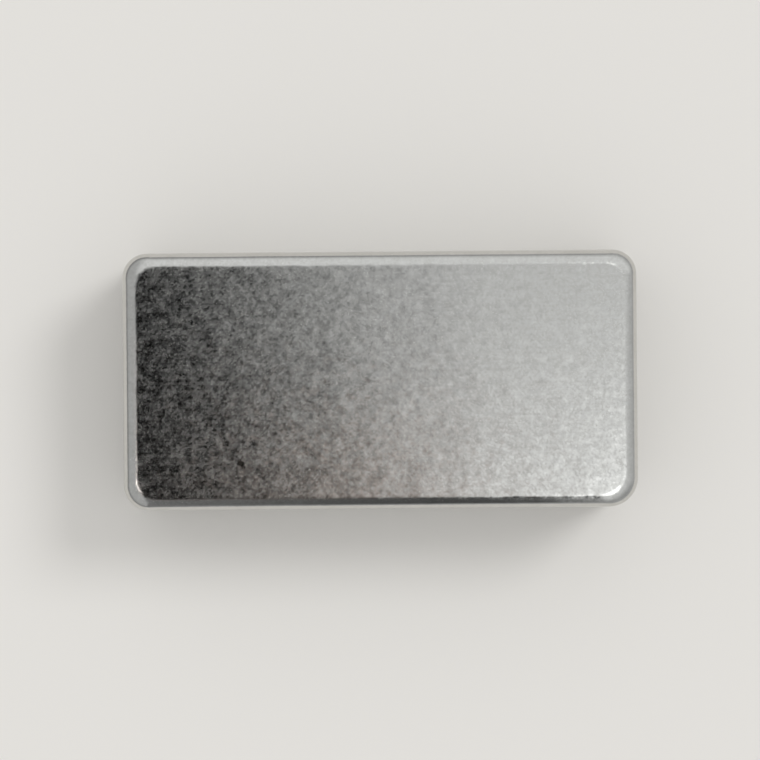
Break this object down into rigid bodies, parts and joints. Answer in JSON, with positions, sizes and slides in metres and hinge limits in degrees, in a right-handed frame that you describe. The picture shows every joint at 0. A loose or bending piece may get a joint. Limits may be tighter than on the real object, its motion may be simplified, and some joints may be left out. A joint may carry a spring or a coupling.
{
  "type": "block magnet",
  "caption": "Rectangular block magnet with flat pole faces, tumbled round edges and corners, and a satin nickel plated finish.",
  "frame": {"origin": "the middle of the pole face that the magnet lies on", "axes": "+X along the length, +Y along the width, +Z through the thickness, from the pole face it lies on to the one that faces up"},
  "size_m": [0.02, 0.01, 0.005],
  "materials": {
    "nickel_plating": "satin"
  },
  "bodies": {
    "root": {"block_magnet": "nickel_plating"}
  },
  "joints": []
}
